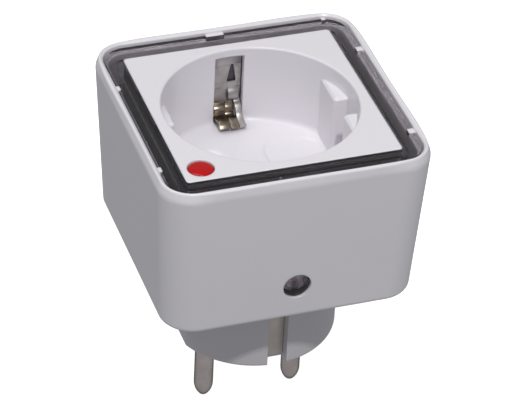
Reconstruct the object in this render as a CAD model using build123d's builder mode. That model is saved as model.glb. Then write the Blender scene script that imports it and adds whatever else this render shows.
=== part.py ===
from build123d import *
import os
from math import cos, radians, sin, sqrt

# Plug-in socket adapter with a square night light around its socket.
# Millimetres. The origin is the middle of the plug's flat end face, the pins point to -Z,
# the socket opens to +Z, and the light sensor looks out of the front wall, towards -Y.

os.makedirs("parts", exist_ok=True)

# Plug side: two round pins, side flats and an earth notch at the front and the rear
pin_pitch = 19.0
pin_diameter = 4.0
pin_length = 19.0
pin_tip_length = 3.2
pin_tip_flat = 1.4
pin_tip_round = 0.6
pin_shank_diameter = 5.2
pin_head_diameter = 6.8
pin_head_height = 1.5
pin_stem_diameter = 3.0
pin_stem_height = 2.2
plug_diameter = 34.8
plug_flats = 32.0
plug_height = 18.9
plug_wall = 1.6
plug_floor = 3.0
plug_edge_round = 0.8
earth_notch_width = 4.0
earth_notch_depth = 3.0

# Casing: a tapered square shell, wider at the rim than at the underside
casing_taper = 3.4
casing_corner = 6.8
casing_wall = 1.55
rim_rise = 0.8
rim_lean_in = 0.7
rim_lean_drop = 1.9
rim_lean_round = 2.5
rim_top_round = 0.45
rim_inner_bevel = 0.45
underside_round = 1.2
base_thickness = 2.2
base_gap = 0.15

# Screw posts in the casing's corners
post_inset = 5.2
post_diameter = 4.6
post_web = 1.4
stake_diameter = 1.6
stake_height = 1.0
case_screw_diameter = 2.2
case_screw_length = 8.5
case_screw_head = 4.2
case_screw_head_height = 1.3

# Socket: face plate, round recess, guide pads and earth slots
plate_margin = 2.2
plate_thickness = 1.8
plate_corner = 0.8
plate_edge_round = 0.25
recess_diameter = 39.0
recess_depth = 17.5
recess_floor = 2.0
recess_wall = 1.3
recess_floor_round = 1.2
recess_mouth_round = 0.4
pad_depth = 3.1
pad_gap = 5.2
pad_drop = 3.8
pad_top_bevel = 0.5
pad_corner_round = 0.7
dish_depth = 0.45
dish_slope = 60.0
dish_width = 12.6
dish_length = 21.8
dish_corner = 4.0
dish_shift = 0.4
pin_hole_diameter = 5.5
pin_hole_bevel = 0.3
earth_slot_width = 6.1
earth_slot_drop = 1.8
earth_slot_depth = 4.5
insert_screw_diameter = 2.8
insert_screw_head = 5.4
insert_screw_length = 12.0

# Light frame: clear square ring between the face plate and the rim
frame_band = 3.67
frame_thickness = 2.4
frame_gap = 0.3
plate_gap = 0.12
lip_width = 0.6
lip_root = 1.2
lip_thickness = 1.6
ledge_width = 0.95
ledge_height = 1.2

# Lamp board below the light frame
led_board_drop = 10.9
led_board_thickness = 1.2
led_board_gap = 0.35
led_length = 3.5
led_width = 2.8
led_height = 1.9
led_offset = 1.5

# Black wall on the lamp board that keeps the lamps' light out of the socket
shield_step = 0.05
shield_wall = 0.7
shield_corner = 1.5

# Red push button in the face plate's front left corner
button_inset = 3.9
button_diameter = 5.2
button_stand = 0.25
button_crown = 0.35
button_edge_round = 0.3
button_skirt = 1.2
button_flange_diameter = 6.2
button_flange_height = 0.9
button_stem_diameter = 2.2
button_travel = 1.0
button_fit = 0.08
switch_side = 4.6
switch_height = 3.0
switch_well = 0.3
plunger_diameter = 2.0
plunger_stand = 1.0
spring_wire = 0.35
button_spring_diameter = 3.8
button_spring_turns = 4

# Contacts: brass sleeves over the pins, nickelled earth clips and strips
strap_thickness = 0.7
sleeve_bore = 5.0
sleeve_length = 11.0
sleeve_slit = 1.2
contact_strap_width = 4.0
strap_step = 0.15
contact_foot = 7.0
earth_strip_width = 3.8
earth_strip_thickness = 0.6
earth_strip_lift = 1.0
earth_bridge_width = 4.0
earth_bridge_eye = 9.4
clip_width = 5.7
clip_thickness = 0.5
clip_tail_width = 3.0
clip_knee_drop = 10.6
clip_roll_inset = 0.9
clip_roll_drop = 11.8
clip_valley_inset = 0.1
clip_valley_drop = 13.6
clip_heel_inset = 2.2
clip_heel_drop = 15.2
clip_bend = 0.8
clip_foot_inset = 4.3
clip_window_width = 2.2
clip_window_top_width = 0.9
clip_window_shift = 0.4
clip_window_drop = 2.4
clip_tongue_width = 2.0
clip_crest_inset = 2.9
clip_crest_drop = 9.0
clip_tip_drop = 7.0

# Child-proof shutter and the tray that carries it
post_foot_diameter = 7.2
post_neck_diameter = 6.0
shutter_fit = 0.08
shutter_hub = 10.4
shutter_width = 7.0
shutter_hub_height = 2.0
shutter_wing_height = 3.6
shutter_gap = 0.15
shutter_toe = 0.4
shutter_ramp_run = 5.5
shutter_swing = 42.0
tray_thickness = 1.8
tray_rim = 1.2
tray_width = 25.0
tray_headroom = 4.1
shutter_spring_diameter = 8.2
shutter_spring_turns = 2

# Circuit board around the contacts
board_lift = 1.6
board_thickness = 1.6
board_margin = 1.84
board_post_gap = 0.5
parts_room = 2.8
board_contact_slot = 10.0
board_earth_slot = 6.6
standoff_diameter = 3.0
standoff_x = 18.4
standoff_y = 10.0
film_capacitor_thickness = 4.5
film_capacitor_length = 13.0
film_capacitor_height = 9.5
film_capacitor_gap = 0.1
can_diameter = 6.3
can_headroom = 0.6
can_left_inset = 6.2
can_rear_inset = 10.0
rectifier_length = 6.4
rectifier_width = 5.0
rectifier_height = 2.6
rectifier_x = 10.0
rectifier_y = -10.0
resistor_diameter = 2.3
resistor_length = 6.3
resistor_insets = (1.2, 3.7)
resistor_left_inset = 2.0
resistor_y = -6.5
lead_diameter = 0.6
transistor_diameter = 4.8
transistor_height = 4.6
transistor_stand = 1.4
transistor_left_inset = 9.4
transistor_front_inset = 8.0

# Light sensor behind a round window low in the front wall
window_diameter = 5.7
window_lift = 2.5
window_gap = 0.05
window_recess = 0.1
window_dome = 0.5
window_flange = 7.4
window_flange_thickness = 0.8
sensor_diameter = 4.2
sensor_thickness = 2.0
sensor_lead_pitch = 2.5

# Insulated wires
wire_diameter = 1.2
wire_bend = 1.3
wire_rise = 1.5
mains_wire_foot = 14.5
mains_wire_land = 16.3
lamp_wire_diameter = 0.9
lamp_wire_spacing = 2.2
lamp_wire_inset = 2.9
lamp_wire_bend = 1.5

# Small clearances
overcut = 1.0
seat = 0.05
root = 0.4

# Heights worked out from the sizes above, from the underside up
underside = plug_height
base_top = underside + base_thickness
board_bottom = base_top + board_lift
board_top = board_bottom + board_thickness
tray_bottom = board_top + parts_room
tray_top = tray_bottom + tray_thickness
cup_bottom = tray_top + tray_headroom
recess_bottom = cup_bottom + recess_floor
face = recess_bottom + recess_depth
rim_top = face + rim_rise
casing_height = rim_top - underside
plate_bottom = face - plate_thickness
frame_bottom = face - frame_thickness
pad_top = face - pad_drop
led_board_bottom = face - led_board_drop
led_board_top = led_board_bottom + led_board_thickness
window_z = board_top + window_lift

# Widths worked out from the sizes above, from the recess outwards
recess_radius = recess_diameter / 2
cup_radius = recess_radius + recess_wall
pad_across = recess_diameter - 2 * pad_depth
plate_side = recess_diameter + 2 * plate_margin
rim_flare = casing_taper / 2 * (rim_top - frame_bottom) / casing_height
casing_top = plate_side + 2 * (plate_gap + frame_band + frame_gap + casing_wall + rim_flare)
casing_bottom = casing_top - casing_taper
post_pitch = casing_bottom - 2 * post_inset
button_x = button_inset - plate_side / 2
button_y = button_inset - plate_side / 2
strip_back = plug_diameter / 2 - earth_notch_depth
strip_front = strip_back + earth_strip_thickness
clip_back = cup_radius - seat
clip_front = clip_back - clip_thickness
clip_foot_reach = recess_radius - clip_foot_inset
clip_crest = recess_radius - clip_crest_inset
earth_slot_reach = recess_radius - earth_slot_depth
flange_top = cup_bottom - 2 * clip_thickness
slant = sqrt(0.5)


def casing_half(z):
    """Half the casing's outer width at height z."""
    share = (z - underside) / casing_height
    return (casing_bottom + (casing_top - casing_bottom) * share) / 2


def inner_half(z):
    """Half the width of the casing's inside at height z."""
    return casing_half(z) - casing_wall


def tapered_block(inset, low, high):
    """A block with the casing's taper, inset from its outer faces."""
    with BuildPart() as block:
        for z in (low, high):
            side = 2 * (casing_half(z) - inset)
            with BuildSketch(Plane.XY.offset(z)):
                RectangleRounded(side, side, casing_corner - inset)
        loft()
    return block.part


def save(piece, name):
    """Labels a finished piece and writes it under its own name."""
    piece.label = name
    export_step(piece, f"parts/{name}.step")


# Tabs on the rim that hold the light frame: side angle, place as a share of half the side, width, reach
rim_tabs = (
    (0, 0.518, 1.5, 0.9),
    (0, -0.646, 1.5, 0.9),
    (90, 0.054, 3.7, 0.5),
    (90, -0.856, 0.8, 0.5),
    (180, -0.467, 1.5, 0.4),
    (180, 0.638, 1.5, 0.4),
)


def tab_corner(angle, along, out):
    """The point at a distance out from the middle and along one side of the square."""
    turn = radians(angle)
    return (out * cos(turn) - along * sin(turn), out * sin(turn) + along * cos(turn))


# Casing
frame_half = inner_half(frame_bottom) - frame_gap
outer_block = tapered_block(0, underside, rim_top)
inner_block = tapered_block(casing_wall, underside - overcut, rim_top + overcut)
post_reach = slant * post_pitch

with BuildPart() as corner_posts:
    with BuildSketch(Plane.XY.offset(base_top)):
        with GridLocations(post_pitch, post_pitch, 2, 2):
            Circle(post_diameter / 2)
        with PolarLocations(post_reach + post_diameter, 4, start_angle=45):
            Rectangle(2 * post_diameter, post_web)
    extrude(amount=led_board_bottom - base_top)
    with BuildSketch(Plane.XY.offset(led_board_bottom)):
        with GridLocations(post_pitch, post_pitch, 2, 2):
            Circle(stake_diameter / 2)
    extrude(amount=stake_height)
    add(outer_block, mode=Mode.INTERSECT)
    with BuildSketch(Plane.XY.offset(base_top)):
        with GridLocations(post_pitch, post_pitch, 2, 2):
            Circle(case_screw_diameter / 2 + seat)
    extrude(amount=case_screw_length, mode=Mode.SUBTRACT)

with BuildPart() as casing:
    add(outer_block)
    add(inner_block, mode=Mode.SUBTRACT)
    fillet(casing.faces().sort_by(Axis.Z)[0].outer_wire().edges(), underside_round)
    rim_face = casing.faces().sort_by(Axis.Z)[-1]
    chamfer(rim_face.outer_wire().edges(), rim_lean_in, rim_lean_drop, reference=rim_face)
    lean_low = rim_top - rim_lean_drop
    fillet(casing.edges().filter_by_position(Axis.Z, lean_low - seat, lean_low + seat), rim_lean_round)
    fillet(casing.faces().sort_by(Axis.Z)[-1].outer_wire().edges(), rim_top_round)
    chamfer(casing.faces().sort_by(Axis.Z)[-1].inner_wires()[0].edges(), rim_inner_bevel)
    add(corner_posts.part)
    ledge_half = inner_half(frame_bottom)
    with BuildSketch(Plane.XY.offset(frame_bottom - ledge_height)):
        RectangleRounded(2 * (ledge_half + root), 2 * (ledge_half + root), casing_corner - casing_wall)
        ledge_side = 2 * (ledge_half - ledge_width)
        RectangleRounded(ledge_side, ledge_side, casing_corner - casing_wall - ledge_width, mode=Mode.SUBTRACT)
    extrude(amount=ledge_height)
    for angle, share, width, reach in rim_tabs:
        along = share * frame_half
        middle = frame_half - reach / 2 + (frame_gap + root) / 2
        with BuildSketch(Plane.XY.offset(frame_bottom)):
            with Locations(Location((*tab_corner(angle, along, middle), 0), (0, 0, angle))):
                Rectangle(reach + frame_gap + root, width)
        extrude(amount=frame_thickness)
    with BuildSketch(Plane.XZ.offset(inner_half(window_z) - overcut)):
        with Locations((0, window_z)):
            Circle(window_diameter / 2)
    extrude(amount=casing_wall + 2 * overcut, mode=Mode.SUBTRACT)
save(casing.part, "casing")

# Plug base: the underside cover in one piece with the plug body and the middle post
base_side = 2 * (inner_half(underside) - base_gap)
plug_radius = plug_diameter / 2
tray_rest = tray_bottom

with BuildPart() as plug_base:
    with BuildSketch(Plane.XY.offset(underside)):
        RectangleRounded(base_side, base_side, casing_corner - casing_wall - base_gap)
    extrude(amount=base_thickness)
    with BuildSketch():
        Circle(plug_radius)
        Rectangle(plug_flats, plug_diameter, mode=Mode.INTERSECT)
    extrude(amount=underside)
    fillet(plug_base.faces().sort_by(Axis.Z)[0].edges(), plug_edge_round)
    with BuildSketch(Plane.XY.offset(plug_floor)):
        Circle(plug_radius - plug_wall)
        Rectangle(plug_flats - 2 * plug_wall, plug_diameter, mode=Mode.INTERSECT)
        with GridLocations(0, 2 * plug_radius, 1, 2):
            Rectangle(
                earth_notch_width + 2 * plug_wall,
                2 * (earth_notch_depth + plug_wall),
                mode=Mode.SUBTRACT,
            )
    extrude(amount=base_top - plug_floor, mode=Mode.SUBTRACT)
    with BuildSketch():
        with GridLocations(0, 2 * plug_radius, 1, 2):
            Rectangle(earth_notch_width, 2 * earth_notch_depth)
    extrude(amount=underside, mode=Mode.SUBTRACT)
    with BuildSketch(Plane.XY.offset(underside)):
        with GridLocations(0, strip_back + strip_front, 1, 2):
            Rectangle(earth_notch_width, earth_strip_thickness + 2 * seat)
    extrude(amount=base_thickness, mode=Mode.SUBTRACT)
    with BuildSketch():
        with GridLocations(pin_pitch, 0, 2, 1):
            Circle(pin_shank_diameter / 2 + seat)
    extrude(amount=plug_floor, mode=Mode.SUBTRACT)
    with BuildSketch(Plane.XY.offset(plug_floor)):
        Rectangle(earth_bridge_width + 2 * seat, 2 * strip_back)
    extrude(amount=earth_strip_thickness + seat, mode=Mode.SUBTRACT)
    with BuildSketch(Plane.XY.offset(plug_floor)):
        Circle(post_foot_diameter / 2)
    extrude(amount=tray_rest - plug_floor)
    with BuildSketch(Plane.XY.offset(tray_rest)):
        Circle(post_neck_diameter / 2)
    extrude(amount=cup_bottom - tray_rest)
    with BuildSketch(Plane.XY.offset(recess_bottom - insert_screw_length - overcut)):
        Circle(insert_screw_diameter / 2 + seat)
    extrude(amount=insert_screw_length + overcut, mode=Mode.SUBTRACT)
    with BuildSketch(Plane.XY.offset(base_top)):
        with GridLocations(2 * standoff_x, 2 * standoff_y, 2, 2):
            Circle(standoff_diameter / 2)
    extrude(amount=board_lift)
    with BuildSketch(Plane.XY.offset(underside)):
        with GridLocations(post_pitch, post_pitch, 2, 2):
            Circle(case_screw_diameter / 2 + seat)
    extrude(amount=base_thickness, mode=Mode.SUBTRACT)
    with BuildSketch(Plane.XY.offset(underside)):
        with GridLocations(post_pitch, post_pitch, 2, 2):
            Circle(case_screw_head / 2 + seat)
    extrude(amount=case_screw_head_height, mode=Mode.SUBTRACT)
save(plug_base.part, "plug_base")

# Four screws from the underside into the casing's posts
with BuildPart() as casing_screws:
    with BuildSketch(Plane.XY.offset(underside)):
        with GridLocations(post_pitch, post_pitch, 2, 2):
            Circle(case_screw_head / 2)
    extrude(amount=case_screw_head_height)
    cross_depth = case_screw_head_height / 2
    with BuildSketch(Plane.XY.offset(underside)):
        with GridLocations(post_pitch, post_pitch, 2, 2):
            Rectangle(case_screw_head / 2, case_screw_head / 8)
            Rectangle(case_screw_head / 8, case_screw_head / 2)
    extrude(amount=cross_depth, mode=Mode.SUBTRACT)
    with BuildSketch(Plane.XY.offset(underside + case_screw_head_height)):
        with GridLocations(post_pitch, post_pitch, 2, 2):
            Circle(case_screw_diameter / 2)
    extrude(amount=case_screw_length)
save(casing_screws.part, "casing_screws")

# Socket insert: face plate and recess in one moulding
with BuildPart() as socket_insert:
    with BuildSketch(Plane.XY.offset(plate_bottom)):
        RectangleRounded(plate_side, plate_side, plate_corner)
    extrude(amount=plate_thickness)
    fillet(socket_insert.faces().sort_by(Axis.Z)[-1].outer_wire().edges(), plate_edge_round)
    with BuildSketch(Plane.XY.offset(cup_bottom)):
        Circle(cup_radius)
    extrude(amount=plate_bottom - cup_bottom)
    with BuildSketch(Plane.XZ):
        with BuildLine():
            floor_arc = (recess_radius - recess_floor_round, recess_bottom)
            wall_start = (recess_radius, recess_bottom + recess_floor_round)
            wall_end = (recess_radius, face - recess_mouth_round)
            mouth = (recess_radius + recess_mouth_round, face)
            Line((0, recess_bottom), floor_arc)
            RadiusArc(floor_arc, wall_start, -recess_floor_round)
            Line(wall_start, wall_end)
            RadiusArc(wall_end, mouth, recess_mouth_round)
            Line(mouth, (mouth[0], face + overcut))
            Line((mouth[0], face + overcut), (0, face + overcut))
            Line((0, face + overcut), (0, recess_bottom))
        make_face()
    revolve(axis=Axis.Z, mode=Mode.SUBTRACT)
    pad_deep = recess_radius - pad_across / 2 + root
    pad_long = recess_radius - pad_gap / 2
    with BuildSketch(Plane.XY.offset(recess_bottom - root)) as pad_sketch:
        with GridLocations(pad_across + pad_deep, pad_gap + pad_long, 2, 2):
            Rectangle(pad_deep, pad_long)
        Circle(recess_radius + root, mode=Mode.INTERSECT)
        corners = pad_sketch.vertices().filter_by_position(Axis.Y, -pad_gap / 2 - seat, pad_gap / 2 + seat)
        corners = corners.filter_by_position(Axis.X, -pad_across / 2 - seat, pad_across / 2 + seat)
        fillet(corners, pad_corner_round)
    extrude(amount=pad_top - recess_bottom + root)
    pad_tops = socket_insert.faces().filter_by(Axis.Z).filter_by_position(Axis.Z, pad_top - seat, pad_top + seat)
    chamfer(pad_tops.edges().filter_by(Axis.Y), pad_top_bevel)
    with BuildSketch(Plane.XY.offset(recess_bottom)):
        with GridLocations(pin_pitch + 2 * dish_shift, 0, 2, 1):
            RectangleRounded(dish_width, dish_length, dish_corner)
    extrude(amount=-dish_depth, taper=dish_slope, mode=Mode.SUBTRACT)
    dish_floor = recess_bottom - dish_depth
    with Locations((-pin_pitch / 2, 0, dish_floor), (pin_pitch / 2, 0, dish_floor)):
        CounterSinkHole(pin_hole_diameter / 2, pin_hole_diameter / 2 + pin_hole_bevel, recess_floor + overcut)
    with Locations((0, 0, recess_bottom)):
        CounterSinkHole(insert_screw_diameter / 2 + seat, insert_screw_head / 2 + seat, recess_floor + overcut)
    slot_length = cup_radius - earth_slot_reach + root
    with BuildSketch(Plane.XY.offset(recess_bottom)):
        with GridLocations(0, 2 * earth_slot_reach + slot_length, 1, 2):
            Rectangle(earth_slot_width, slot_length)
    extrude(amount=recess_depth - earth_slot_drop, mode=Mode.SUBTRACT)
    tail_room = clip_thickness + 2 * seat + root
    with BuildSketch(Plane.XY.offset(cup_bottom)):
        with GridLocations(0, 2 * (clip_front - seat) + tail_room, 1, 2):
            Rectangle(clip_tail_width + 2 * seat, tail_room)
    extrude(amount=recess_floor, mode=Mode.SUBTRACT)
    with BuildSketch(Plane.XY.offset(plate_bottom)):
        with Locations((button_x, button_y)):
            Circle(button_diameter / 2 + button_fit)
    extrude(amount=plate_thickness, mode=Mode.SUBTRACT)
save(socket_insert.part, "socket_insert")

# Screw in the middle of the recess floor, down into the post
with BuildPart() as insert_screw:
    head_depth = (insert_screw_head - insert_screw_diameter) / 2
    with BuildSketch(Plane.XZ):
        with BuildLine():
            Polyline(
                (0, recess_bottom),
                (insert_screw_head / 2, recess_bottom),
                (insert_screw_diameter / 2, recess_bottom - head_depth),
                (insert_screw_diameter / 2, recess_bottom - insert_screw_length + insert_screw_diameter / 2),
                (0, recess_bottom - insert_screw_length),
                close=True,
            )
        make_face()
    revolve(axis=Axis.Z)
    with BuildSketch(Plane.XY.offset(recess_bottom)):
        Rectangle(insert_screw_head * 0.6, insert_screw_head / 8)
        Rectangle(insert_screw_head / 8, insert_screw_head * 0.6)
    extrude(amount=-head_depth / 2, mode=Mode.SUBTRACT)
save(insert_screw.part, "insert_screw")

# Light frame
frame_inner = plate_side + 2 * plate_gap
frame_corner = casing_corner - casing_wall - frame_gap
lip_inner = frame_inner - 2 * lip_width

with BuildPart() as light_frame:
    with BuildSketch(Plane.XY.offset(frame_bottom + seat)):
        RectangleRounded(2 * frame_half, 2 * frame_half, frame_corner)
        RectangleRounded(frame_inner, frame_inner, plate_corner, mode=Mode.SUBTRACT)
    extrude(amount=frame_thickness - seat)
    with BuildSketch(Plane.XY.offset(plate_bottom)):
        RectangleRounded(frame_inner + 2 * lip_root, frame_inner + 2 * lip_root, plate_corner + lip_root)
        RectangleRounded(lip_inner, lip_inner, plate_corner / 2, mode=Mode.SUBTRACT)
    extrude(amount=seat - lip_thickness)
    for angle, share, width, reach in rim_tabs:
        along = share * frame_half
        middle = frame_half - reach / 2 + overcut / 2
        with BuildSketch(Plane.XY.offset(frame_bottom)):
            with Locations(Location((*tab_corner(angle, along, middle), 0), (0, 0, angle))):
                Rectangle(reach + overcut + 2 * seat, width + 2 * seat)
        extrude(amount=frame_thickness, mode=Mode.SUBTRACT)
save(light_frame.part, "light_frame")

# Lamp board and its lamps
led_board_half = inner_half(led_board_bottom) - led_board_gap

with BuildPart() as led_board:
    with BuildSketch(Plane.XY.offset(led_board_bottom)):
        RectangleRounded(2 * led_board_half, 2 * led_board_half, casing_corner - casing_wall)
        Circle(cup_radius + root, mode=Mode.SUBTRACT)
        with GridLocations(post_pitch, post_pitch, 2, 2):
            Circle(stake_diameter / 2 + seat, mode=Mode.SUBTRACT)
    extrude(amount=led_board_thickness)
save(led_board.part, "led_board")

led_places = (-4.6, 12.5)
led_line = plate_side / 2 + led_offset
shield_outer = plate_side + 2 * shield_step

with BuildPart() as leds:
    for angle in (0, 90, 180, 270):
        for along in led_places:
            with BuildSketch(Plane.XY.offset(led_board_top)):
                with Locations(Location((*tab_corner(angle, along, led_line), 0), (0, 0, angle))):
                    Rectangle(led_width, led_length)
            extrude(amount=led_height)
save(leds.part, "leds")

with BuildPart() as light_shield:
    with BuildSketch(Plane.XY.offset(led_board_top)):
        RectangleRounded(shield_outer, shield_outer, shield_corner)
        shield_inner = shield_outer - 2 * shield_wall
        RectangleRounded(shield_inner, shield_inner, shield_corner - shield_wall, mode=Mode.SUBTRACT)
    extrude(amount=plate_bottom - lip_thickness - led_board_top)
save(light_shield.part, "light_shield")

# Push button, its spring and the switch below it
flange_face = plate_bottom - seat
flange_low = flange_face - button_flange_height
switch_top = led_board_top + switch_height
plunger_top = switch_top + plunger_stand

with BuildPart() as button_cap:
    with BuildSketch(Plane(origin=(button_x, button_y, 0), x_dir=(1, 0, 0), z_dir=(0, -1, 0))):
        with BuildLine():
            cap_top = face + button_stand
            Line((0, cap_top), (0, plunger_top))
            Line((0, plunger_top), (button_stem_diameter / 2, plunger_top))
            Line((button_stem_diameter / 2, plunger_top), (button_stem_diameter / 2, flange_low))
            Line((button_stem_diameter / 2, flange_low), (button_flange_diameter / 2, flange_low))
            Line((button_flange_diameter / 2, flange_low), (button_flange_diameter / 2, flange_face))
            Line((button_flange_diameter / 2, flange_face), (button_diameter / 2, flange_face))
            Line((button_diameter / 2, flange_face), (button_diameter / 2, cap_top - button_crown))
            crown_radius = ((button_diameter / 2) ** 2 + button_crown**2) / (2 * button_crown)
            RadiusArc((button_diameter / 2, cap_top - button_crown), (0, cap_top), -crown_radius)
        make_face()
    revolve(axis=Axis((button_x, button_y, 0), (0, 0, 1)))
    crown_low = cap_top - button_crown
    fillet(button_cap.edges().filter_by_position(Axis.Z, crown_low - seat, crown_low + seat), button_edge_round)
save(button_cap.part, "button_cap")

with BuildPart() as switch_body:
    with BuildSketch(Plane.XY.offset(led_board_top)):
        with Locations((button_x, button_y)):
            RectangleRounded(switch_side, switch_side, root)
    extrude(amount=switch_height)
    with BuildSketch(Plane.XY.offset(led_board_top + switch_well)):
        with Locations((button_x, button_y)):
            Circle(plunger_diameter / 2 + button_fit)
    extrude(amount=switch_height, mode=Mode.SUBTRACT)
save(switch_body.part, "switch_body")

plunger_bottom = led_board_top + switch_well + button_travel + root

with BuildPart() as switch_plunger:
    with BuildSketch(Plane.XY.offset(plunger_bottom)):
        with Locations((button_x, button_y)):
            Circle(plunger_diameter / 2)
    extrude(amount=plunger_top - plunger_bottom)
save(switch_plunger.part, "switch_plunger")


def coil(middle_x, middle_y, low, high, diameter, turns):
    """A spring wound around a vertical axis between two heights, with its wire inside them."""
    start = low + spring_wire / 2 + seat
    rise = high - low - spring_wire - 2 * seat
    with BuildPart() as spring:
        with BuildLine() as path:
            Helix(rise / turns, rise, diameter / 2, center=(middle_x, middle_y, start))
        with BuildSketch(Plane(origin=path.line @ 0, z_dir=path.line % 0)):
            Circle(spring_wire / 2)
        sweep(is_frenet=True)
    return spring.part


save(coil(button_x, button_y, switch_top, flange_low, button_spring_diameter, button_spring_turns), "button_spring")

# Pins
head_top = plug_floor + pin_head_height


def plug_pin(x):
    """A solid pin with a rounded tip, a thicker shank and a head inside the plug body, and a rivet stem."""
    with BuildPart() as pin:
        with BuildSketch(Plane((x, 0, -pin_length), x_dir=(1, 0, 0), z_dir=(0, -1, 0))):
            with BuildLine():
                shoulder = (pin_diameter / 2, pin_tip_length)
                TangentArc(shoulder, (pin_tip_flat / 2, 0), tangent=(0, -1))
                Polyline((pin_tip_flat / 2, 0), (0, 0), (0, pin_length), (pin_diameter / 2, pin_length), shoulder)
            make_face()
        revolve(axis=Axis((x, 0, 0), (0, 0, 1)))
        fillet(pin.edges().sort_by(Axis.Z)[0], pin_tip_round)
        with BuildSketch():
            with Locations((x, 0)):
                Circle(pin_shank_diameter / 2)
        extrude(amount=plug_floor)
        with BuildSketch(Plane.XY.offset(plug_floor)):
            with Locations((x, 0)):
                Circle(pin_head_diameter / 2)
        extrude(amount=pin_head_height)
        with BuildSketch(Plane.XY.offset(head_top)):
            with Locations((x, 0)):
                Circle(pin_stem_diameter / 2)
        extrude(amount=pin_stem_height)
    return pin.part


save(plug_pin(pin_pitch / 2), "line_pin")
save(plug_pin(-pin_pitch / 2), "neutral_pin")

# Line and neutral contacts: riveted foot, strap and slit sleeve
sleeve_top = tray_bottom - seat
sleeve_radius = sleeve_bore / 2 + strap_thickness
strap_out = sleeve_radius + strap_step


def pin_contact(side):
    """The contact on one side: a foot on the pin's head, a strap up and a sleeve for the next plug's pin."""
    x = side * pin_pitch / 2
    with BuildPart() as contact:
        with BuildSketch(Plane.XY.offset(head_top)):
            with Locations((x, 0)):
                Rectangle(2 * strap_out, contact_foot)
        extrude(amount=strap_thickness)
        with BuildSketch(Plane.XY.offset(head_top)):
            with Locations((x + side * (strap_out - strap_thickness / 2), 0)):
                Rectangle(strap_thickness, contact_strap_width)
        extrude(amount=sleeve_top - head_top)
        with BuildSketch(Plane.XY.offset(head_top)):
            with Locations((x, 0)):
                Circle(pin_stem_diameter / 2 + seat)
        extrude(amount=strap_thickness, mode=Mode.SUBTRACT)
        with BuildSketch(Plane.XY.offset(sleeve_top - sleeve_length)):
            with Locations((x, 0)):
                Circle(sleeve_radius)
        extrude(amount=sleeve_length)
        with BuildSketch(Plane.XY.offset(sleeve_top - sleeve_length)):
            with Locations((x, 0)):
                Circle(sleeve_bore / 2)
            with Locations((x - side * sleeve_radius, 0)):
                Rectangle(4 * strap_thickness, sleeve_slit)
        extrude(amount=sleeve_length, mode=Mode.SUBTRACT)
    return contact.part


save(pin_contact(1), "line_contact")
save(pin_contact(-1), "neutral_contact")

# Earth path: a strip in each notch of the plug, a clip in each slot of the socket, one bridge
strip_top = flange_top - earth_strip_thickness

with BuildPart() as earth_strip_rear:
    with BuildSketch(Plane.YZ):
        with BuildLine():
            FilletPolyline(
                (strip_back + earth_strip_thickness / 2, earth_strip_lift),
                (strip_back + earth_strip_thickness / 2, strip_top + earth_strip_thickness / 2),
                (clip_back, strip_top + earth_strip_thickness / 2),
                radius=earth_strip_thickness,
            )
        trace(line_width=earth_strip_thickness)
    extrude(amount=earth_strip_width / 2, both=True)
save(earth_strip_rear.part, "earth_strip_rear")

with BuildPart() as earth_strip_front:
    mirror(earth_strip_rear.part, about=Plane.XZ)
save(earth_strip_front.part, "earth_strip_front")

with BuildPart() as earth_bridge:
    with BuildSketch(Plane.XY.offset(plug_floor)):
        Rectangle(earth_bridge_width, 2 * strip_back)
        Circle(earth_bridge_eye / 2)
        Circle(post_foot_diameter / 2 + seat, mode=Mode.SUBTRACT)
    extrude(amount=earth_strip_thickness)
save(earth_bridge.part, "earth_bridge")

with BuildPart() as earth_clip_rear:
    middle_y = (clip_back + clip_front) / 2
    clip_top = face - earth_slot_drop - seat
    knee = face - clip_knee_drop
    foot_z = recess_bottom + clip_thickness / 2 + seat
    with BuildSketch(Plane.YZ):
        with BuildLine():
            FilletPolyline(
                (middle_y, clip_top),
                (middle_y, knee),
                (recess_radius - clip_roll_inset, face - clip_roll_drop),
                (recess_radius - clip_valley_inset, face - clip_valley_drop),
                (recess_radius - clip_heel_inset, face - clip_heel_drop),
                (clip_foot_reach + 2 * clip_thickness, foot_z),
                (clip_foot_reach, foot_z),
                radius=clip_bend,
            )
        trace(line_width=clip_thickness)
    extrude(amount=clip_width / 2, both=True)
    window_low = knee + clip_thickness
    window_high = face - clip_window_drop
    with BuildSketch(Plane.XZ.offset(-clip_front + overcut)):
        low_edge = clip_window_width / 2
        high_edge = clip_window_top_width / 2
        with Locations((clip_window_shift, 0)):
            Polygon(
                (-low_edge, window_low),
                (low_edge, window_low),
                (high_edge, window_high),
                (-high_edge, window_high),
                align=None,
            )
    extrude(amount=-clip_thickness - 2 * overcut, mode=Mode.SUBTRACT)
    with BuildSketch(Plane.YZ):
        with BuildLine():
            FilletPolyline(
                (middle_y, knee),
                (clip_crest, face - clip_crest_drop),
                (clip_crest + 2 * clip_thickness, face - clip_tip_drop),
                radius=2 * clip_thickness,
            )
        trace(line_width=clip_thickness)
    extrude(amount=clip_tongue_width / 2, both=True)
    with BuildSketch(Plane.YZ):
        with BuildLine():
            FilletPolyline(
                (middle_y, knee),
                (middle_y, flange_top + clip_thickness / 2),
                (strip_back, flange_top + clip_thickness / 2),
                radius=clip_thickness,
            )
        trace(line_width=clip_thickness)
    extrude(amount=clip_tail_width / 2, both=True)
save(earth_clip_rear.part, "earth_clip_rear")

with BuildPart() as earth_clip_front:
    mirror(earth_clip_rear.part, about=Plane.XZ)
save(earth_clip_front.part, "earth_clip_front")

# Tray below the recess floor, shutter on the post's neck and its return spring
shutter_reach = pin_pitch / 2 + pin_hole_diameter / 2 + root
tray_radius = shutter_reach + root + tray_rim
shutter_low = tray_top + shutter_gap
shutter_high = shutter_low + shutter_hub_height

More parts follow.
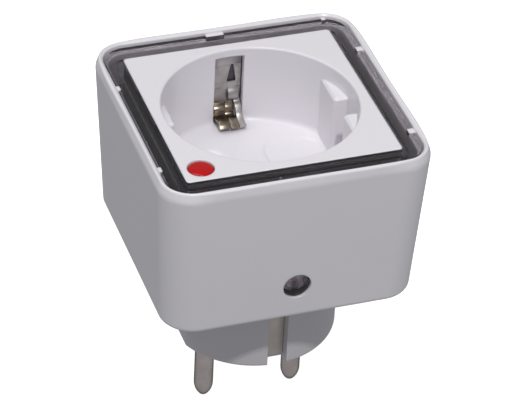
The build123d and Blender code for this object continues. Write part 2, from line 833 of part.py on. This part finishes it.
with BuildPart() as shutter_tray:
    with BuildSketch(Plane.XY.offset(tray_bottom)):
        Circle(tray_radius)
        Rectangle(2 * tray_radius, tray_width, mode=Mode.INTERSECT)
    extrude(amount=cup_bottom - tray_bottom)
    with BuildSketch(Plane.XY.offset(tray_top)):
        Circle(tray_radius - tray_rim)
    extrude(amount=cup_bottom - tray_top, mode=Mode.SUBTRACT)
    with BuildSketch(Plane.XY.offset(tray_bottom)):
        Circle(post_neck_diameter / 2 + seat)
        with GridLocations(pin_pitch, 0, 2, 1):
            Circle(pin_hole_diameter / 2)
    extrude(amount=tray_thickness, mode=Mode.SUBTRACT)
save(shutter_tray.part, "shutter_tray")

with BuildPart() as shutter:
    with BuildSketch(Plane.XY.offset(shutter_low)):
        Rectangle(2 * shutter_reach, shutter_width)
        Circle(shutter_reach, mode=Mode.INTERSECT)
        Circle(shutter_hub / 2, mode=Mode.SUBTRACT)
    extrude(amount=shutter_wing_height)
    wing_top = shutter_low + shutter_wing_height
    for side in (-1, 1):
        with BuildSketch(Plane.YZ):
            Polygon(
                (-side * (shutter_width / 2 + overcut), wing_top + overcut),
                (-side * (shutter_width / 2 + overcut), shutter_low + shutter_toe),
                (-side * shutter_width / 2, shutter_low + shutter_toe),
                (-side * (shutter_width / 2 - shutter_ramp_run), wing_top),
                (-side * (shutter_width / 2 - shutter_ramp_run), wing_top + overcut),
                align=None,
            )
        extrude(amount=side * (shutter_reach + overcut), mode=Mode.SUBTRACT)
    with BuildSketch(Plane.XY.offset(shutter_low)):
        Circle(shutter_hub / 2)
        Circle(post_neck_diameter / 2 + shutter_fit, mode=Mode.SUBTRACT)
    extrude(amount=shutter_hub_height)
save(shutter.part, "shutter")
save(coil(0, 0, shutter_high, cup_bottom, shutter_spring_diameter, shutter_spring_turns), "shutter_spring")

# Circuit board with its parts
board_half = inner_half(board_bottom) - board_margin
board_corner_cut = 2 * board_half - post_pitch + (post_diameter / 2 + board_post_gap) / slant
board_corner = slant * (2 * board_half - board_corner_cut)

with BuildPart() as circuit_board:
    with BuildSketch(Plane.XY.offset(board_bottom)) as board_outline:
        Rectangle(2 * board_half, 2 * board_half)
        chamfer(board_outline.vertices(), board_corner_cut)
        contact_room = pin_pitch + 2 * strap_out + 2 * wire_diameter + 2 * root
        Rectangle(contact_room, board_contact_slot, mode=Mode.SUBTRACT)
        Rectangle(board_earth_slot, 2 * (strip_front + overcut), mode=Mode.SUBTRACT)
    extrude(amount=board_thickness)
save(circuit_board.part, "circuit_board")

with BuildPart() as film_capacitor:
    reach = slant * (board_corner - film_capacitor_gap - film_capacitor_thickness / 2)
    with BuildSketch(Plane.XY.offset(board_top)):
        with Locations(Location((reach, reach, 0), (0, 0, 45))):
            Rectangle(film_capacitor_thickness, film_capacitor_length)
    extrude(amount=film_capacitor_height)
    fillet(film_capacitor.edges().filter_by(Axis.Z), root)
save(film_capacitor.part, "film_capacitor")

with BuildPart() as can_capacitor:
    with BuildSketch(Plane.XY.offset(board_top)):
        with Locations((can_left_inset - board_half, board_half - can_rear_inset)):
            Circle(can_diameter / 2)
    extrude(amount=cup_bottom - can_headroom - board_top)
    fillet(can_capacitor.edges().filter_by(GeomType.CIRCLE), root)
save(can_capacitor.part, "can_capacitor")

with BuildPart() as rectifier:
    with BuildSketch(Plane.XY.offset(board_top)):
        with Locations((rectifier_x, rectifier_y)):
            Rectangle(rectifier_length, rectifier_width)
    extrude(amount=rectifier_height)
    chamfer(rectifier.faces().sort_by(Axis.Z)[-1].edges(), root)
save(rectifier.part, "rectifier")

resistor_lines = [board_half - inset for inset in resistor_insets]
resistor_lines.append(resistor_left_inset - board_half)

with BuildPart() as resistors:
    for x in resistor_lines:
        resistor_z = board_top + resistor_diameter / 2
        with BuildSketch(Plane.XZ.offset(-resistor_y - resistor_length / 2)):
            with Locations((x, resistor_z)):
                Circle(resistor_diameter / 2)
        extrude(amount=resistor_length)
        with BuildSketch(Plane.YZ.offset(x)):
            with BuildLine():
                lead_end = resistor_length / 2 + 2 * lead_diameter
                FilletPolyline(
                    (resistor_y - lead_end, board_top),
                    (resistor_y - lead_end, resistor_z),
                    (resistor_y + lead_end, resistor_z),
                    (resistor_y + lead_end, board_top),
                    radius=lead_diameter,
                )
            trace(line_width=lead_diameter)
        extrude(amount=lead_diameter / 2, both=True)
save(resistors.part, "resistors")

transistor_x = transistor_left_inset - board_half
transistor_y = transistor_front_inset - board_half

with BuildPart() as transistor:
    with BuildSketch(Plane.XY.offset(board_top + transistor_stand)):
        with Locations((transistor_x, transistor_y)):
            Circle(transistor_diameter / 2)
        with Locations((transistor_x, transistor_y + transistor_diameter / 2)):
            Rectangle(transistor_diameter, transistor_diameter / 2, mode=Mode.SUBTRACT)
    extrude(amount=transistor_height)
    with BuildSketch(Plane.XY.offset(board_top)):
        with Locations((transistor_x, transistor_y - lead_diameter)):
            with GridLocations(2 * lead_diameter, 0, 3, 1):
                Rectangle(lead_diameter, lead_diameter)
    extrude(amount=transistor_stand)
save(transistor.part, "transistor")

# Window in the front wall and the light sensor behind it
window_radius = window_diameter / 2 - window_gap
flange_out = inner_half(window_z - window_flange / 2) - seat
window_face = casing_half(window_z) - window_recess
sensor_face = flange_out - window_flange_thickness - root

with BuildPart() as sensor_window:
    with BuildSketch(Plane.YZ):
        with BuildLine():
            crown_edge = (-(window_face - window_dome), window_z + window_radius)
            Line((-window_face, window_z), (-(flange_out - window_flange_thickness), window_z))
            Line(
                (-(flange_out - window_flange_thickness), window_z),
                (-(flange_out - window_flange_thickness), window_z + window_flange / 2),
            )
            Line(
                (-(flange_out - window_flange_thickness), window_z + window_flange / 2),
                (-flange_out, window_z + window_flange / 2),
            )
            Line((-flange_out, window_z + window_flange / 2), (-flange_out, window_z + window_radius))
            Line((-flange_out, window_z + window_radius), crown_edge)
            dome_radius = (window_radius**2 + window_dome**2) / (2 * window_dome)
            RadiusArc(crown_edge, (-window_face, window_z), -dome_radius)
        make_face()
    revolve(axis=Axis((0, 0, window_z), (0, 1, 0)))
save(sensor_window.part, "sensor_window")

with BuildPart() as light_sensor:
    with BuildSketch(Plane.XZ.offset(sensor_face - sensor_thickness)):
        with Locations((0, window_z)):
            Circle(sensor_diameter / 2)
    extrude(amount=sensor_thickness)
    lead_y = sensor_face - sensor_thickness - 2 * lead_diameter
    for x in (-sensor_lead_pitch / 2, sensor_lead_pitch / 2):
        with BuildSketch(Plane.YZ.offset(x)):
            with BuildLine():
                FilletPolyline(
                    (-(sensor_face - sensor_thickness), window_z),
                    (-lead_y, window_z),
                    (-lead_y, board_top),
                    radius=lead_diameter,
                )
            trace(line_width=lead_diameter)
        extrude(amount=lead_diameter / 2, both=True)
save(light_sensor.part, "light_sensor")


def wire(points, bend, diameter):
    """An insulated wire along straight runs joined by arcs."""
    with BuildPart() as lead:
        with BuildLine() as path:
            FilletPolyline(*points, radius=bend)
        with BuildSketch(Plane(origin=path.line @ 0, z_dir=path.line % 0)):
            Circle(diameter / 2)
        sweep()
    return lead.part


# Mains wires from the contact straps over to the circuit board
for side, name in ((1, "line_wire"), (-1, "neutral_wire")):
    wire_x = side * (pin_pitch / 2 + strap_out + wire_diameter / 2)
    land_x = side * mains_wire_land
    crest_z = board_top + wire_rise
    route = ((wire_x, 0, mains_wire_foot), (wire_x, 0, crest_z), (land_x, 0, crest_z), (land_x, 0, board_top))
    save(wire(route, wire_bend, wire_diameter), name)

# Lamp wires from the circuit board up to the lamp board, in the front right corner
lamp_wires = []
middle = (board_top + led_board_bottom) / 2
inner_reach = slant * (board_corner - lamp_wire_inset)
outer_reach = inner_reach + slant * lamp_wire_bend
for place in (-lamp_wire_spacing, 0, lamp_wire_spacing):
    across = slant * place
    route = (
        (inner_reach + across, across - inner_reach, board_top),
        (inner_reach + across, across - inner_reach, middle - lamp_wire_bend),
        (outer_reach + across, across - outer_reach, middle + lamp_wire_bend),
        (outer_reach + across, across - outer_reach, led_board_bottom),
    )
    lamp_wires.append(wire(route, lamp_wire_bend, lamp_wire_diameter))
save(Compound(children=lamp_wires), "lamp_wires")
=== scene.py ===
import bpy
import bmesh
import math
from mathutils import Matrix, Vector


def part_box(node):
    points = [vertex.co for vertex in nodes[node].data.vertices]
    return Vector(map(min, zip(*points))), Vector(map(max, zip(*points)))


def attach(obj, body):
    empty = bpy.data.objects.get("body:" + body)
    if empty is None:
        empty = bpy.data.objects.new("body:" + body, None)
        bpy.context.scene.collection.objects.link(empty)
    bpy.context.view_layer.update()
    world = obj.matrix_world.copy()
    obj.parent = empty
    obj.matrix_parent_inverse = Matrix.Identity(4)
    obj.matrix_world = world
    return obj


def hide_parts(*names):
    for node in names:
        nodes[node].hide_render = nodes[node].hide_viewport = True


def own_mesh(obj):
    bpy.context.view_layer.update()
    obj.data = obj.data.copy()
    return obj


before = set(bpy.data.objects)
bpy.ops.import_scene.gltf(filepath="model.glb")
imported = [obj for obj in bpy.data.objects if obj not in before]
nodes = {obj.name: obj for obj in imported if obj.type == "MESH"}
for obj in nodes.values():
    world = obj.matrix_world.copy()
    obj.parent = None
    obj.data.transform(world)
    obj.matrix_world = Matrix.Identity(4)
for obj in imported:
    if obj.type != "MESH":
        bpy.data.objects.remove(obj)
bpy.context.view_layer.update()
MM = 0.001

# Heights of the face plate's upper side and of the pins' tips
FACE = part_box("socket_insert")[1][2]
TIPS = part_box("line_pin")[0][2]


# Materials

def new_material(name):
    mat = bpy.data.materials.new(name)
    mat.use_nodes = True
    nt = mat.node_tree
    nt.nodes.clear()
    out = nt.nodes.new("ShaderNodeOutputMaterial")
    bsdf = nt.nodes.new("ShaderNodeBsdfPrincipled")
    nt.links.new(bsdf.outputs["BSDF"], out.inputs["Surface"])
    return mat, nt, bsdf


def noise(nt, scale, detail=3.0, rough=0.5, stretch=None):
    """A noise texture in object coordinates, scale in cells per metre."""
    coord = nt.nodes.new("ShaderNodeTexCoord")
    tex = nt.nodes.new("ShaderNodeTexNoise")
    tex.inputs["Scale"].default_value = scale
    tex.inputs["Detail"].default_value = detail
    tex.inputs["Roughness"].default_value = rough
    if stretch:
        mapping = nt.nodes.new("ShaderNodeMapping")
        mapping.inputs["Scale"].default_value = stretch
        nt.links.new(coord.outputs["Object"], mapping.inputs["Vector"])
        nt.links.new(mapping.outputs["Vector"], tex.inputs["Vector"])
    else:
        nt.links.new(coord.outputs["Object"], tex.inputs["Vector"])
    return tex


def ramp(nt, source, stops):
    """A colour ramp over a grey source: stops are (position, colour)."""
    node = nt.nodes.new("ShaderNodeValToRGB")
    for element, (pos, col) in zip(node.color_ramp.elements, stops):
        element.position = pos
        element.color = (*col, 1.0)
    nt.links.new(source, node.inputs["Fac"])
    return node


def spread(nt, source, low, high):
    """The middle of a noise source, 0.3 to 0.7, mapped to low to high."""
    node = nt.nodes.new("ShaderNodeMapRange")
    node.inputs["From Min"].default_value = 0.3
    node.inputs["From Max"].default_value = 0.7
    node.inputs["To Min"].default_value = low
    node.inputs["To Max"].default_value = high
    nt.links.new(source, node.inputs["Value"])
    return node


def bump(nt, bsdf, layers, edge=0.0):
    """Stacks bump layers of (height socket, distance in metres, strength).

    With an edge radius in metres, edges are eased below the layers.
    """
    last = None
    if edge:
        last = nt.nodes.new("ShaderNodeBevel")
        last.samples = 8
        last.inputs["Radius"].default_value = edge
    for source, distance, strength in layers:
        node = nt.nodes.new("ShaderNodeBump")
        node.inputs["Distance"].default_value = distance
        node.inputs["Strength"].default_value = strength
        nt.links.new(source, node.inputs["Height"])
        if last:
            nt.links.new(last.outputs["Normal"], node.inputs["Normal"])
        last = node
    nt.links.new(last.outputs["Normal"], bsdf.inputs["Normal"])


def plastic(name, dark, light, rough=(0.285, 0.36), peel=1.0, sss=0.0, edge=0.0):
    """Moulded plastic: cloudy tone, fine skin texture and uneven gloss."""
    mat, nt, bsdf = new_material(name)
    cloud = noise(nt, 45, 3, 0.5)
    fine = noise(nt, 3200, 2, 0.5)
    wave = noise(nt, 120, 1, 0.3)
    tone = ramp(nt, cloud.outputs["Fac"], [(0.3, dark), (0.7, light)])
    nt.links.new(tone.outputs["Color"], bsdf.inputs["Base Color"])
    gloss = spread(nt, noise(nt, 420, 5, 0.6).outputs["Fac"], *rough)
    nt.links.new(gloss.outputs["Result"], bsdf.inputs["Roughness"])
    skin = (fine.outputs["Fac"], 0.003 * MM, 0.25 * peel)
    waviness = (wave.outputs["Fac"], 0.02 * MM, 0.1 * peel)
    bump(nt, bsdf, [skin, waviness], edge)
    bsdf.inputs["IOR"].default_value = 1.5
    if sss:
        bsdf.inputs["Subsurface Weight"].default_value = sss
        bsdf.inputs["Subsurface Radius"].default_value = (1.2 * MM, 1.0 * MM, 0.9 * MM)
        bsdf.inputs["Subsurface Scale"].default_value = 1.0
    return mat


def metal(name, dark, light, rough=(0.15, 0.26), grain=(1, 1, 1), scratch=0.3):
    """Plated or bare metal: cloudy tarnish, drawn grain and fine scratches."""
    mat, nt, bsdf = new_material(name)
    cloud = noise(nt, 350, 5, 0.6)
    tone = ramp(nt, cloud.outputs["Fac"], [(0.28, dark), (0.72, light)])
    nt.links.new(tone.outputs["Color"], bsdf.inputs["Base Color"])
    bsdf.inputs["Metallic"].default_value = 1.0
    lines = noise(nt, 1800, 3, 0.6, grain)
    gloss = spread(nt, lines.outputs["Fac"], *rough)
    nt.links.new(gloss.outputs["Result"], bsdf.inputs["Roughness"])
    drawn = (lines.outputs["Fac"], 0.008 * MM, scratch)
    pitting = (cloud.outputs["Fac"], 0.01 * MM, 0.1)
    bump(nt, bsdf, [drawn, pitting])
    return mat


def clear(name, tint, rough, ior=1.49):
    """Clear moulded plastic with faint haze."""
    mat, nt, bsdf = new_material(name)
    bsdf.inputs["Base Color"].default_value = (*tint, 1.0)
    bsdf.inputs["Transmission Weight"].default_value = 1.0
    bsdf.inputs["IOR"].default_value = ior
    haze = spread(nt, noise(nt, 500, 4, 0.6).outputs["Fac"], *rough)
    nt.links.new(haze.outputs["Result"], bsdf.inputs["Roughness"])
    bump(nt, bsdf, [(noise(nt, 350, 2, 0.5).outputs["Fac"], 0.03 * MM, 0.3)])
    return mat


def sensor_track(name):
    """The light sensor's face: a pale ceramic disc with a winding dark track."""
    mat, nt, bsdf = new_material(name)
    coord = nt.nodes.new("ShaderNodeTexCoord")
    wave = nt.nodes.new("ShaderNodeTexWave")
    wave.inputs["Scale"].default_value = 150
    wave.inputs["Distortion"].default_value = 3.5
    wave.inputs["Detail"].default_value = 1
    wave.inputs["Detail Scale"].default_value = 1.2
    nt.links.new(coord.outputs["Object"], wave.inputs["Vector"])
    tone = ramp(nt, wave.outputs["Fac"], [(0.35, (0.05, 0.03, 0.03)), (0.65, (0.62, 0.56, 0.54))])
    nt.links.new(tone.outputs["Color"], bsdf.inputs["Base Color"])
    gloss = spread(nt, noise(nt, 900, 3).outputs["Fac"], 0.3, 0.4)
    nt.links.new(gloss.outputs["Result"], bsdf.inputs["Roughness"])
    bump(nt, bsdf, [(wave.outputs["Fac"], 0.03 * MM, 0.4)])
    return mat


# Each roughness range stays on one side of 0.27, where the noise filter starts to take it for a mirror

DRAWN_DOWN = (1, 1, 0.08)
DRAWN_ACROSS = (0.15, 1, 1)

white = plastic("white_shell", (0.82, 0.797, 0.835), (0.835, 0.812, 0.85), (0.28, 0.34),
                sss=0.04, edge=0.3 * MM)
white_insert = plastic("white_insert", (0.83, 0.805, 0.845), (0.845, 0.82, 0.86), (0.285, 0.34),
                       peel=0.8, sss=0.04, edge=0.4 * MM)
# Painted shade: a darker copy of the white plastic for the plug base and shutter tray, standing in for the
# shadow under the casing
white_base_painted_shade = plastic("white_base_painted_shade", (0.64, 0.62, 0.65), (0.66, 0.64, 0.67), (0.3, 0.38),
                     sss=0.04, edge=0.15 * MM)
red = plastic("button_red", (0.48, 0.007, 0.008), (0.54, 0.009, 0.010), (0.16, 0.22), peel=0.6)
red.node_tree.nodes["Principled BSDF"].inputs["Specular IOR Level"].default_value = 0.3
black = plastic("board_black", (0.085, 0.069, 0.087), (0.145, 0.122, 0.148), (0.35, 0.5))
shade = plastic("shield_black", (0.050, 0.040, 0.051), (0.078, 0.065, 0.079), (0.35, 0.5))
green = plastic("board_green", (0.02, 0.12, 0.05), (0.04, 0.2, 0.08), (0.285, 0.4))
grey = plastic("shutter_grey", (0.10, 0.10, 0.105), (0.15, 0.15, 0.155), (0.35, 0.5))
film = plastic("film_yellow", (0.6, 0.4, 0.06), (0.75, 0.52, 0.1))
can = plastic("can_blue", (0.02, 0.04, 0.16), (0.04, 0.08, 0.28), (0.15, 0.26))
chip = plastic("chip_black", (0.015, 0.015, 0.018), (0.03, 0.03, 0.033), (0.35, 0.5))
tan = plastic("resistor_tan", (0.42, 0.3, 0.16), (0.55, 0.4, 0.24))
brown = plastic("wire_brown", (0.12, 0.045, 0.02), (0.18, 0.07, 0.03))
blue = plastic("wire_blue", (0.03, 0.07, 0.3), (0.05, 0.12, 0.42))
red_wire = plastic("wire_red", (0.35, 0.02, 0.02), (0.5, 0.04, 0.03))
nickel = metal("pin_nickel", (0.69, 0.62, 0.585), (0.88, 0.80, 0.77), (0.16, 0.26), DRAWN_DOWN, 0.2)
nickel.node_tree.nodes["Principled BSDF"].inputs["Specular Tint"].default_value = (0.08, 0.07, 0.07, 1)
brassy = metal("earth_nickel", (0.34, 0.31, 0.27), (0.52, 0.49, 0.45), (0.12, 0.26), DRAWN_ACROSS, 0.2)
spring_flat = metal("spring_flat", (0.36, 0.34, 0.33), (0.58, 0.55, 0.54), (0.42, 0.52), DRAWN_ACROSS, 0.06)
spring_roll = metal("spring_roll", (0.20, 0.155, 0.11), (0.42, 0.37, 0.31), (0.285, 0.38),
                    DRAWN_ACROSS, 0.03)
strip_metal = metal("strip_nickel", (0.66, 0.59, 0.55), (0.80, 0.73, 0.69), (0.34, 0.46), (1, 1, 0.1), 0.2)
brass = metal("contact_brass", (0.6, 0.42, 0.16), (0.75, 0.55, 0.24))
steel = metal("screw_steel", (0.45, 0.45, 0.45), (0.62, 0.61, 0.6), (0.29, 0.42), (1, 1, 0.2), 0.2)
lamp = clear("lamp_lens", (0.62, 0.60, 0.60), (0.05, 0.15), 1.53)
ring_clear = clear("clear_frame", (0.79, 0.762, 0.79), (0.02, 0.05))
window_clear = clear("window_clear", (0.50, 0.46, 0.50), (0.02, 0.08))
sensor_face = sensor_track("sensor_face")

finish = {
    "casing": white, "plug_base": white_base_painted_shade, "socket_insert": white_insert, "light_frame": ring_clear,
    "button_cap": red, "sensor_window": window_clear, "line_pin": nickel, "neutral_pin": nickel,
    "line_contact": brass, "neutral_contact": brass, "earth_clip_rear": brassy, "earth_clip_front": brassy,
    "earth_strip_rear": strip_metal, "earth_strip_front": strip_metal, "earth_bridge": brassy,
    "insert_screw": steel, "casing_screws": steel, "button_spring": steel, "shutter_spring": steel,
    "circuit_board": green, "led_board": black, "leds": lamp, "light_shield": shade, "switch_body": chip,
    "switch_plunger": white, "film_capacitor": film, "can_capacitor": can, "rectifier": chip,
    "resistors": tan, "transistor": chip, "light_sensor": sensor_face, "line_wire": brown,
    "neutral_wire": blue, "lamp_wires": red_wire, "shutter": grey, "shutter_tray": white_base_painted_shade,
}
for name, mat in finish.items():
    for slot in nodes[name].material_slots:
        slot.material = mat


# Pieces built here in place of plainer CAD solids

def keep(name, bm, mats, body, node):
    """Makes an object of a bmesh, shades it smooth, and sets it in the place of a CAD node."""
    mesh = bpy.data.meshes.new(name)
    bmesh.ops.recalc_face_normals(bm, faces=bm.faces)
    bm.to_mesh(mesh)
    bm.free()
    for face in mesh.polygons:
        face.use_smooth = True
    for mat in mats:
        mesh.materials.append(mat)
    piece = bpy.data.objects.new(name, mesh)
    bpy.context.collection.objects.link(piece)
    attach(piece, body)
    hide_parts(node)
    return piece


def smooth_step(p, q, r, s, t):
    """The Catmull-Rom rule between q and r, for t from 0 to 1."""
    square = 2 * p - 5 * q + 4 * r - s
    cube = 3 * q - p - 3 * r + s
    return 0.5 * (2 * q + (r - p) * t + square * t ** 2 + cube * t ** 3)


def curve(points, steps=6):
    """A smooth line through the points."""
    ends = [points[0], *points, points[-1]]
    line = []
    for four in zip(ends, ends[1:], ends[2:], ends[3:]):
        for k in range(steps):
            line.append(tuple(smooth_step(*values, k / steps) for values in zip(*four)))
    return [*line, points[-1]]


def band(bm, line, left, right, kind=0):
    """A sheet along a line of (reach, drop below the face), with a left and a right edge at each point."""
    rows = []
    for (reach, drop), low, high in zip(line, left, right):
        across = (low, (low + high) / 2, high)
        rows.append([bm.verts.new((x * MM, reach * MM, FACE - drop * MM)) for x in across])
    for one, two in zip(rows, rows[1:]):
        for a, b, c, d in zip(one, one[1:], two[1:], two):
            bm.faces.new((a, b, c, d)).material_index = kind


def straight(bm, line, left, right, kind=0):
    """A band with the same left and right edge all the way."""
    band(bm, line, [left] * len(line), [right] * len(line), kind)


def earth_clip(name, node, turn):
    """The earth spring: a flat part with a tapered window, a bulge, and three bent strips at its foot."""
    bm = bmesh.new()
    back = 20.72
    half = 2.83
    foot = 13.0
    shelf = 9.9
    straight(bm, [(back, 1.87), (back, 4.3)], -half, half)
    flank = [(back, drop) for drop in (4.3, 5.2, 6.2, 7.2, 8.0, 8.5)]
    band(bm, flank, [-half] * len(flank), [0.7, 0.45, 0.25, 0.1, -0.05, -0.05])
    band(bm, flank, [1.15, 1.35, 1.5, 1.65, 1.8, 1.8], [half] * len(flank))
    straight(bm, [(back, 8.5), (back, shelf)], -half, half)
    straight(bm, [(back, shelf), (back, foot)], -half, 0.05)
    straight(bm, [(back, shelf), (back, foot)], 2.35, half)
    bulge = [(back, shelf), (20.5, 10.3), (20.1, 10.9), (19.9, 11.6), (20.05, 12.3), (20.5, 12.8),
             (back, foot)]
    straight(bm, curve(bulge), 0.15, 2.25)
    left = [(back, foot), (back, 13.2), (20.5, 13.6), (19.8, 13.9), (19.4, 14.4), (19.5, 14.9), (20.1, 15.3),
            (20.0, 15.8), (19.3, 16.1), (18.4, 16.0), (17.5, 15.7), (16.6, 15.6), (15.9, 15.9), (15.4, 16.4)]
    straight(bm, curve(left), -half, -0.45, kind=1)
    middle = [(back, foot), (back, 13.6), (20.4, 14.1), (20.0, 14.6), (19.9, 15.2), (20.2, 15.7),
              (19.6, 16.2), (18.6, 16.1), (17.8, 15.8), (16.9, 16.0), (16.1, 16.3), (15.4, 16.6)]
    straight(bm, curve(middle), -0.3, 1.4, kind=1)
    plain = [(back, foot), (20.3, 13.5), (19.5, 13.9), (18.9, 14.6), (18.3, 15.4), (17.2, 16.1),
             (15.4, 16.5)]
    straight(bm, curve(plain), 1.52, half)
    bmesh.ops.remove_doubles(bm, verts=bm.verts, dist=0.01 * MM)
    bmesh.ops.rotate(bm, verts=bm.verts, cent=(0, 0, 0), matrix=Matrix.Rotation(math.radians(turn), 3, "Z"))
    piece = keep(name, bm, (spring_flat, spring_roll), "adapter", node)
    solid = piece.modifiers.new("sheet", "SOLIDIFY")
    solid.thickness = 0.4 * MM
    solid.offset = 0
    soft = piece.modifiers.new("edges", "BEVEL")
    soft.width = 0.07 * MM
    soft.segments = 2
    soft.limit_method = "ANGLE"


earth_clip("earth_spring_rear", "earth_clip_rear", 0)
earth_clip("earth_spring_front", "earth_clip_front", 180)


def lathe(name, profile, place, mat, body, node, steps=72):
    """A closed turned piece: the profile is (radius, height) in mm about Z, then moved to its place."""
    bm = bmesh.new()
    rings = []
    for radius, height in profile:
        ring = []
        for k in range(steps if radius else 1):
            angle = 2 * math.pi * k / steps
            ring.append(bm.verts.new(
                (radius * MM * math.cos(angle), radius * MM * math.sin(angle), height * MM)))
        rings.append(ring)
    for one, two in zip(rings, rings[1:]):
        for k in range(steps):
            n = (k + 1) % steps
            corners = [one[k % len(one)], one[n % len(one)], two[n % len(two)], two[k % len(two)]]
            bm.faces.new(list(dict.fromkeys(corners)))
    bmesh.ops.transform(bm, matrix=place, verts=bm.verts)
    keep(name, bm, (mat,), body, node)


def sensor_lens():
    """The window over the light sensor: a shallow dome, a barrel in the casing's hole, a flange inside."""
    low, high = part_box("sensor_window")
    front, inner = low[1] / MM, high[1] / MM
    barrel, flange, flange_height, dome_height = 2.79, 3.68, 0.75, 0.5
    mouth = barrel - 0.01
    sphere = (mouth ** 2 + dome_height ** 2) / (2 * dome_height)
    dome = [(radius, front + sphere - math.sqrt(sphere ** 2 - radius ** 2))
            for radius in (0, 0.4, 0.8, 1.2, 1.6, 2.0, 2.4, 2.7)]
    profile = [*dome, (mouth, front + 0.52), (barrel, front + 0.6), (barrel, inner - flange_height),
               (flange - 0.08, inner - flange_height), (flange, inner - 0.7), (flange, inner - 0.08),
               (flange - 0.08, inner), (0, inner)]
    place = Matrix.Translation((0, 0, (low[2] + high[2]) / 2)) @ Matrix.Rotation(-math.pi / 2, 4, "X")
    lathe("sensor_lens", profile, place, window_clear, "adapter", "sensor_window")


def button_dome():
    """The button's cap: a stem, a flange under the face plate, and a softly domed top."""
    low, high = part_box("button_cap")
    stem_end, crown = low[2] / MM, high[2] / MM
    stem, flange, cap, ease = 1.1, 3.1, 2.6, 0.05
    flange_depth, flange_height = 3.0, 0.9
    flange_low = crown - flange_depth
    flange_top = flange_low + flange_height
    profile = [(0, stem_end), (stem - ease, stem_end), (stem, stem_end + ease), (stem, flange_low),
               (flange - ease, flange_low), (flange, flange_low + ease), (flange, flange_top - ease),
               (flange - ease, flange_top), (cap, flange_top), (cap, crown - 0.95),
               (2.56, crown - 0.72), (2.46, crown - 0.5), (2.3, crown - 0.33), (2.05, crown - 0.2),
               (1.6, crown - 0.1), (1.0, crown - 0.035), (0.5, crown - 0.01), (0, crown)]
    place = Matrix.Translation(((low[0] + high[0]) / 2, (low[1] + high[1]) / 2, 0))
    lathe("button_dome", profile, place, red, "button", "button_cap")


def return_spring():
    """The button's return spring, with closed end turns."""
    low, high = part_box("button_spring")
    wire, slack = 0.35 * MM, 0.05 * MM
    turns, closed, steps, sides = 5.0, 0.6, 40, 12
    centre = [(a + b) / 2 for a, b in zip(low, high)]
    radius = (high[0] - low[0] - wire) / 2
    rise = high[2] - low[2] - wire - 2 * slack
    bm = bmesh.new()
    rings = []
    for k in range(int(turns * steps) + 1):
        angle = 2 * math.pi * k / steps
        share = min(max((k / steps - closed) / (turns - 2 * closed), 0.0), 1.0)
        height = low[2] + wire / 2 + slack + rise * share
        ring = []
        for n in range(sides):
            around = 2 * math.pi * n / sides
            reach = radius + wire / 2 * math.cos(around)
            ring.append(bm.verts.new((
                centre[0] + reach * math.cos(angle), centre[1] + reach * math.sin(angle),
                height + wire / 2 * math.sin(around))))
        rings.append(ring)
    for one, two in zip(rings, rings[1:]):
        for n in range(sides):
            bm.faces.new((one[n], one[(n + 1) % sides], two[(n + 1) % sides], two[n]))
    bm.faces.new(rings[0])
    bm.faces.new(rings[-1])
    spring = keep("button_return_spring", bm, (steel,), "adapter", "button_spring")
    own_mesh(spring)


sensor_lens()
button_dome()
return_spring()


# Floor and light

# The floor is seen only by the camera, so the part's sides stay as dark as in the photograph
floor_mesh = bpy.data.meshes.new("floor")
bm = bmesh.new()
bmesh.ops.create_grid(bm, x_segments=2, y_segments=2, size=1.2)
bm.to_mesh(floor_mesh)
bm.free()
floor = bpy.data.objects.new("floor", floor_mesh)
floor.location = (0, 0, TIPS)
bpy.context.collection.objects.link(floor)
mat, nt, bsdf = new_material("floor_pale")
tone = ramp(nt, noise(nt, 3, 3).outputs["Fac"], [(0.3, (0.9, 0.9, 0.9)), (0.7, (0.93, 0.93, 0.93))])
nt.links.new(tone.outputs["Color"], bsdf.inputs["Base Color"])
bsdf.inputs["Roughness"].default_value = 0.9
bsdf.inputs["Emission Color"].default_value = (1, 1, 1, 1)
bsdf.inputs["Emission Strength"].default_value = 0.82
floor_mesh.materials.append(mat)
floor.visible_diffuse = False
floor.visible_glossy = False

world = bpy.data.worlds.new("studio")
bpy.context.scene.world = world
world.use_nodes = True
world.node_tree.nodes["Background"].inputs["Color"].default_value = (0.96, 0.97, 1.0, 1)
world.node_tree.nodes["Background"].inputs["Strength"].default_value = 0.305


def area(name, place, size, power):
    """A square light that looks at the middle of the casing."""
    data = bpy.data.lights.new(name, "AREA")
    data.size = size
    data.energy = power
    light = bpy.data.objects.new(name, data)
    light.location = place
    light.rotation_euler = (Vector((0, 0, 0.03)) - Vector(place)).to_track_quat("-Z", "Y").to_euler()
    bpy.context.collection.objects.link(light)


area("overhead", (-0.30, 0.02, 0.86), 0.5, 2.1)
area("key", (-0.05, -0.45, 0.75), 0.04, 2.95)


# Camera at the photograph's angle

AZIMUTH, ELEVATION, ROLL = math.radians(-19.94), math.radians(36.30), math.radians(2.92)
DISTANCE = 585.54 * MM
ASIDE, UPWARDS = -1.09 * MM, -18.96 * MM
PHOTO_WIDTH = 510
FOCAL_PIXELS = 3000

back = Vector((math.sin(AZIMUTH) * math.cos(ELEVATION), -math.cos(AZIMUTH) * math.cos(ELEVATION),
               math.sin(ELEVATION)))
right = Vector((math.cos(AZIMUTH), math.sin(AZIMUTH), 0))
up = back.cross(right)
side = math.cos(ROLL) * right + math.sin(ROLL) * up
top = -math.sin(ROLL) * right + math.cos(ROLL) * up
place = ASIDE * side + UPWARDS * top + DISTANCE * back + Vector((0, 0, FACE))
camera_data = bpy.data.cameras.new("camera")
camera_data.sensor_width = 36
camera_data.lens = FOCAL_PIXELS * camera_data.sensor_width / PHOTO_WIDTH
camera = bpy.data.objects.new("camera", camera_data)
camera.matrix_world = Matrix.Translation(place) @ Matrix((side, top, back)).transposed().to_4x4()
bpy.context.collection.objects.link(camera)
bpy.context.scene.camera = camera
bpy.context.scene.view_settings.view_transform = "Standard"
